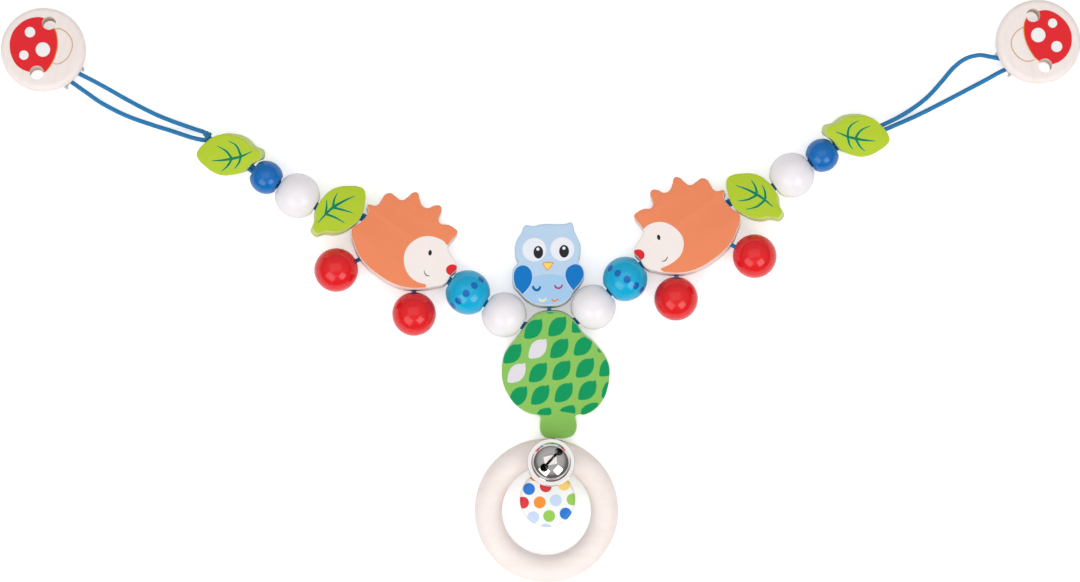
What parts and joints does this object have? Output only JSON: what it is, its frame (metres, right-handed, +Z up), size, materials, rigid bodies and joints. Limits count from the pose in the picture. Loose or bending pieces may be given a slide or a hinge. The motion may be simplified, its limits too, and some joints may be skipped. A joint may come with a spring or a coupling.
{
  "type": "pram_chain_toy",
  "caption": "Wooden pram chain with clips, hedgehogs, leaves, beads, an owl on a tree, and a grasping ring with bell and dotted disc",
  "frame": {"origin": "The middle of the toy's bounding box in plan, at the table under its lowest point.", "axes": "+X runs toward the right clip, +Y toward the clips' side of the layout (the top of the view from above), +Z up from the table."},
  "size_m": [0.5236, 0.283, 0.0335],
  "materials": {
    "bell_chrome": "polished",
    "clip_steel": "brushed",
    "dark_blue_lacquer": "gloss",
    "elastic_cord": "matte",
    "grip_plastic": "matte",
    "leaf_green_paint": "satin",
    "light_blue_lacquer": "gloss",
    "natural_wood": "satin",
    "orange_paint": "satin",
    "pale_blue_paint": "satin",
    "red_lacquer": "gloss",
    "tree_green_paint": "satin",
    "white_lacquer": "gloss"
  },
  "bodies": {
    "tree": {"tree": "tree_green_paint", "tree_cord": "elastic_cord", "tree_top_cord": "elastic_cord", "trunk_cord": "elastic_cord"},
    "ring": {"grasping_ring": "natural_wood", "ring_cord": "elastic_cord"},
    "dotted_disc": {"dotted_disc": "white_lacquer"},
    "bell": {"bell_top": "bell_chrome", "bell_bottom": "bell_chrome"},
    "clapper": {"bell_clapper": "clip_steel"},
    "owl_stem": {"owl_cord": "elastic_cord"},
    "owl": {"owl": "pale_blue_paint"},
    "left_inner_white_bead_link": {"left_inner_white_bead_cord": "elastic_cord"},
    "left_inner_white_bead": {"left_inner_white_bead": "white_lacquer"},
    "left_spotted_bead_link": {"left_spotted_bead_cord": "elastic_cord"},
    "left_spotted_bead": {"left_spotted_bead": "light_blue_lacquer"},
    "left_hedgehog_link": {"left_hedgehog_cord": "elastic_cord"},
    "left_hedgehog": {"left_hedgehog": "orange_paint"},
    "left_inner_leaf_link": {"left_inner_leaf_cord": "elastic_cord"},
    "left_inner_leaf": {"left_inner_leaf": "leaf_green_paint"},
    "left_outer_white_bead_link": {"left_outer_white_bead_cord": "elastic_cord"},
    "left_outer_white_bead": {"left_outer_white_bead": "white_lacquer"},
    "left_small_blue_bead_link": {"left_small_blue_bead_cord": "elastic_cord"},
    "left_small_blue_bead": {"left_small_blue_bead": "dark_blue_lacquer"},
    "left_outer_leaf_link": {"left_outer_leaf_cord": "elastic_cord"},
    "left_outer_leaf": {"left_outer_leaf": "leaf_green_paint"},
    "left_hedgehog_front_leg": {"left_hedgehog_front_leg_bead": "red_lacquer", "left_hedgehog_front_leg_cord": "elastic_cord"},
    "left_hedgehog_rear_leg": {"left_hedgehog_rear_leg_bead": "red_lacquer", "left_hedgehog_rear_leg_cord": "elastic_cord"},
    "left_loop": {"left_loop_cord": "elastic_cord"},
    "left_clip": {"left_clip_frame": "clip_steel", "left_clip_pin": "clip_steel", "left_clip_grip_pad": "grip_plastic"},
    "left_clip_cover": {"left_clip_lever": "clip_steel", "left_clip_disc": "natural_wood"},
    "right_inner_white_bead_link": {"right_inner_white_bead_cord": "elastic_cord"},
    "right_inner_white_bead": {"right_inner_white_bead": "white_lacquer"},
    "right_spotted_bead_link": {"right_spotted_bead_cord": "elastic_cord"},
    "right_spotted_bead": {"right_spotted_bead": "light_blue_lacquer"},
    "right_hedgehog_link": {"right_hedgehog_cord": "elastic_cord"},
    "right_hedgehog": {"right_hedgehog": "orange_paint"},
    "right_inner_leaf_link": {"right_inner_leaf_cord": "elastic_cord"},
    "right_inner_leaf": {"right_inner_leaf": "leaf_green_paint"},
    "right_outer_white_bead_link": {"right_outer_white_bead_cord": "elastic_cord"},
    "right_outer_white_bead": {"right_outer_white_bead": "white_lacquer"},
    "right_small_blue_bead_link": {"right_small_blue_bead_cord": "elastic_cord"},
    "right_small_blue_bead": {"right_small_blue_bead": "dark_blue_lacquer"},
    "right_outer_leaf_link": {"right_outer_leaf_cord": "elastic_cord"},
    "right_outer_leaf": {"right_outer_leaf": "leaf_green_paint"},
    "right_hedgehog_front_leg": {"right_hedgehog_front_leg_bead": "red_lacquer", "right_hedgehog_front_leg_cord": "elastic_cord"},
    "right_hedgehog_rear_leg": {"right_hedgehog_rear_leg_bead": "red_lacquer", "right_hedgehog_rear_leg_cord": "elastic_cord"},
    "right_loop": {"right_loop_cord": "elastic_cord"},
    "right_clip": {"right_clip_frame": "clip_steel", "right_clip_pin": "clip_steel", "right_clip_grip_pad": "grip_plastic"},
    "right_clip_cover": {"right_clip_lever": "clip_steel", "right_clip_disc": "natural_wood"}
  },
  "joints": [
    {"name": "left_clip_open", "type": "hinge", "parent": "left_clip", "child": "left_clip_cover", "pos_m": [-0.25273, 0.12451, 0.0058], "axis": [-0.6175, -0.7633, 0.1901], "range_deg": [0, 60]},
    {"name": "left_clip_fold", "type": "hinge", "parent": "left_loop", "child": "left_clip", "pos_m": [-0.22726, 0.10441, 0.00785], "axis": [-0.6175, -0.7633, 0.1901], "range_deg": [0, 60]},
    {"name": "right_clip_open", "type": "hinge", "parent": "right_clip", "child": "right_clip_cover", "pos_m": [0.25344, 0.1271, 0.0054], "axis": [-0.5055, 0.8543, -0.1214], "range_deg": [0, 60]},
    {"name": "right_clip_fold", "type": "hinge", "parent": "right_loop", "child": "right_clip", "pos_m": [0.22539, 0.11079, 0.00744], "axis": [-0.5055, 0.8543, -0.1214], "range_deg": [0, 60]},
    {"name": "ring_lift", "type": "hinge", "parent": "tree", "child": "ring", "pos_m": [0.00598, -0.07147, 0.0067], "axis": [-0.9959, 0.0906, 0], "range_deg": [0, 15]},
    {"name": "bell_rock", "type": "hinge", "parent": "ring", "child": "bell", "pos_m": [0.00465, -0.086, 0.0067], "axis": [0.9959, -0.0906, 0], "range_deg": [0, 25]},
    {"name": "owl_lift", "type": "hinge", "parent": "tree", "child": "owl_stem", "pos_m": [0.00408, -0.00839, 0.0118], "axis": [1, 0, 0], "range_deg": [0, 35]},
    {"name": "left_loop_swing", "type": "hinge", "parent": "left_outer_leaf_link", "child": "left_loop", "pos_m": [-0.16089, 0.07402, 0.0078], "axis": [0, 0, 1], "range_deg": [-10, 6]},
    {"name": "right_loop_swing", "type": "hinge", "parent": "right_outer_leaf_link", "child": "right_loop", "pos_m": [0.16488, 0.07889, 0.0078], "axis": [0, 0, -1], "range_deg": [-10, 6]},
    {"name": "left_hedgehog_bend", "type": "hinge", "parent": "left_spotted_bead_link", "child": "left_hedgehog_link", "pos_m": [-0.04419, 0.0049, 0.0109], "axis": [0, 0, 1], "range_deg": [-3, 6]},
    {"name": "right_hedgehog_bend", "type": "hinge", "parent": "right_spotted_bead_link", "child": "right_hedgehog_link", "pos_m": [0.04881, 0.01274, 0.0109], "axis": [0, 0, -1], "range_deg": [-6, 5]},
    {"name": "left_hedgehog_front_leg_swing", "type": "hinge", "parent": "left_hedgehog", "child": "left_hedgehog_front_leg", "pos_m": [-0.0615, -0.00017, 0.01292], "axis": [-0.0007, -0.1927, 0.9813], "range_deg": [-12, 12]},
    {"name": "left_hedgehog_rear_leg_swing", "type": "hinge", "parent": "left_hedgehog", "child": "left_hedgehog_rear_leg", "pos_m": [-0.08801, 0.01558, 0.01201], "axis": [-0.0881, -0.0401, 0.9953], "range_deg": [-20, 20]},
    {"name": "right_hedgehog_front_leg_swing", "type": "hinge", "parent": "right_hedgehog", "child": "right_hedgehog_front_leg", "pos_m": [0.06583, 0.00723, 0.01293], "axis": [-0.0027, -0.1933, 0.9811], "range_deg": [-12, 12]},
    {"name": "right_hedgehog_rear_leg_swing", "type": "hinge", "parent": "right_hedgehog", "child": "right_hedgehog_rear_leg", "pos_m": [0.09261, 0.02251, 0.01201], "axis": [0.0869, -0.0414, 0.9954], "range_deg": [-20, 20]},
    {"name": "disc_turn", "type": "hinge", "parent": "ring", "child": "dotted_disc", "pos_m": [0.0045, -0.0877, 0.0067], "axis": [0.0906, 0.9959, 0], "continuous": true},
    {"name": "owl_turn", "type": "hinge", "parent": "owl_stem", "child": "owl", "pos_m": [0.00408, -0.00839, 0.0118], "axis": [0, 0.9854, -0.1702], "range_deg": [-120, 120]},
    {"name": "clapper_travel", "type": "slide", "parent": "bell", "child": "clapper", "axis": [0.0181, 0.1985, 0.9799], "range_m": [0, 0.0122]},
    {"name": "left_inner_white_bead_bend", "type": "hinge", "parent": "tree", "child": "left_inner_white_bead_link", "pos_m": [-0.00901, -0.01687, 0.0112], "axis": [0, 0, 1], "range_deg": [-5, 8]},
    {"name": "left_spotted_bead_bend", "type": "hinge", "parent": "left_inner_white_bead_link", "child": "left_spotted_bead_link", "pos_m": [-0.02664, -0.00585, 0.0112], "axis": [0, 0, 1], "range_deg": [-5, 5]},
    {"name": "left_inner_leaf_bend", "type": "hinge", "parent": "left_hedgehog_link", "child": "left_inner_leaf_link", "pos_m": [-0.08658, 0.03627, 0.0084], "axis": [0, 0, 1], "range_deg": [-5, 3]},
    {"name": "left_outer_white_bead_bend", "type": "hinge", "parent": "left_inner_leaf_link", "child": "left_outer_white_bead_link", "pos_m": [-0.10919, 0.0412, 0.0111], "axis": [0, 0, 1], "range_deg": [-5, 5]},
    {"name": "left_small_blue_bead_bend", "type": "hinge", "parent": "left_outer_white_bead_link", "child": "left_small_blue_bead_link", "pos_m": [-0.12711, 0.05176, 0.0112], "axis": [0, 0, 1], "range_deg": [-5, 5]},
    {"name": "left_outer_leaf_bend", "type": "hinge", "parent": "left_small_blue_bead_link", "child": "left_outer_leaf_link", "pos_m": [-0.13955, 0.05908, 0.0106], "axis": [0, 0, 1], "range_deg": [-4, 6]},
    {"name": "right_inner_white_bead_bend", "type": "hinge", "parent": "tree", "child": "right_inner_white_bead_link", "pos_m": [0.01781, -0.01464, 0.0112], "axis": [0, 0, -1], "range_deg": [-2, 8]},
    {"name": "right_spotted_bead_bend", "type": "hinge", "parent": "right_inner_white_bead_link", "child": "right_spotted_bead_link", "pos_m": [0.03312, -0.00056, 0.0112], "axis": [0, 0, -1], "range_deg": [-5, 4]},
    {"name": "right_inner_leaf_bend", "type": "hinge", "parent": "right_hedgehog_link", "child": "right_inner_leaf_link", "pos_m": [0.09134, 0.04308, 0.0084], "axis": [0, 0, -1], "range_deg": [-5, 2]},
    {"name": "right_outer_white_bead_bend", "type": "hinge", "parent": "right_inner_leaf_link", "child": "right_outer_white_bead_link", "pos_m": [0.1133, 0.05068, 0.0111], "axis": [0, 0, -1], "range_deg": [-5, 5]},
    {"name": "right_small_blue_bead_bend", "type": "hinge", "parent": "right_outer_white_bead_link", "child": "right_small_blue_bead_link", "pos_m": [0.13054, 0.06231, 0.0112], "axis": [0, 0, -1], "range_deg": [-4, 3]},
    {"name": "right_outer_leaf_bend", "type": "hinge", "parent": "right_small_blue_bead_link", "child": "right_outer_leaf_link", "pos_m": [0.14278, 0.06996, 0.0106], "axis": [0, 0, -1], "range_deg": [-2, 6]},
    {"name": "left_hedgehog_spin", "type": "hinge", "parent": "left_hedgehog_link", "child": "left_hedgehog", "pos_m": [-0.06538, 0.02058, 0.00965], "axis": [-0.803, 0.5942, -0.0473], "range_deg": [-12, 12]},
    {"name": "left_inner_leaf_spin", "type": "hinge", "parent": "left_inner_leaf_link", "child": "left_inner_leaf", "pos_m": [-0.09789, 0.03874, 0.00975], "axis": [-0.9705, 0.2116, 0.1159], "range_deg": [-6, 6]},
    {"name": "left_outer_leaf_spin", "type": "hinge", "parent": "left_outer_leaf_link", "child": "left_outer_leaf", "pos_m": [-0.15022, 0.06655, 0.0092], "axis": [-0.8145, 0.5703, -0.1069], "range_deg": [-20, 20]},
    {"name": "right_hedgehog_spin", "type": "hinge", "parent": "right_hedgehog_link", "child": "right_hedgehog", "pos_m": [0.07007, 0.02791, 0.00965], "axis": [0.8132, 0.58, -0.0478], "range_deg": [-12, 12]},
    {"name": "right_inner_leaf_spin", "type": "hinge", "parent": "right_inner_leaf_link", "child": "right_inner_leaf", "pos_m": [0.10232, 0.04688, 0.00975], "axis": [0.9386, 0.325, 0.1154], "range_deg": [-6, 6]},
    {"name": "right_outer_leaf_spin", "type": "hinge", "parent": "right_outer_leaf_link", "child": "right_outer_leaf", "pos_m": [0.15383, 0.07443, 0.0092], "axis": [0.9209, 0.372, -0.1167], "range_deg": [-20, 20]},
    {"name": "left_inner_white_bead_spin", "type": "hinge", "parent": "left_inner_white_bead_link", "child": "left_inner_white_bead", "pos_m": [-0.01783, -0.01136, 0.0112], "axis": [-0.848, 0.5299, 0], "continuous": true},
    {"name": "left_spotted_bead_spin", "type": "hinge", "parent": "left_spotted_bead_link", "child": "left_spotted_bead", "pos_m": [-0.03542, -0.00047, 0.01105], "axis": [-0.8525, 0.5224, -0.0146], "continuous": true},
    {"name": "left_outer_white_bead_spin", "type": "hinge", "parent": "left_outer_white_bead_link", "child": "left_outer_white_bead", "pos_m": [-0.11815, 0.04648, 0.01115], "axis": [-0.8616, 0.5075, 0.0048], "continuous": true},
    {"name": "left_small_blue_bead_spin", "type": "hinge", "parent": "left_small_blue_bead_link", "child": "left_small_blue_bead", "pos_m": [-0.13333, 0.05542, 0.0109], "axis": [-0.8609, 0.5071, -0.0415], "continuous": true},
    {"name": "right_inner_white_bead_spin", "type": "hinge", "parent": "right_inner_white_bead_link", "child": "right_inner_white_bead", "pos_m": [0.02546, -0.0076, 0.0112], "axis": [0.7361, 0.6769, 0], "continuous": true},
    {"name": "right_spotted_bead_spin", "type": "hinge", "parent": "right_spotted_bead_link", "child": "right_spotted_bead", "pos_m": [0.04096, 0.00609, 0.01105], "axis": [0.7626, 0.6467, -0.0146], "continuous": true},
    {"name": "right_outer_white_bead_spin", "type": "hinge", "parent": "right_outer_white_bead_link", "child": "right_outer_white_bead", "pos_m": [0.12192, 0.0565, 0.01115], "axis": [0.829, 0.5592, 0.0048], "continuous": true},
    {"name": "right_small_blue_bead_spin", "type": "hinge", "parent": "right_small_blue_bead_link", "child": "right_small_blue_bead", "pos_m": [0.13666, 0.06614, 0.0109], "axis": [0.8473, 0.5295, -0.0415], "continuous": true}
  ]
}
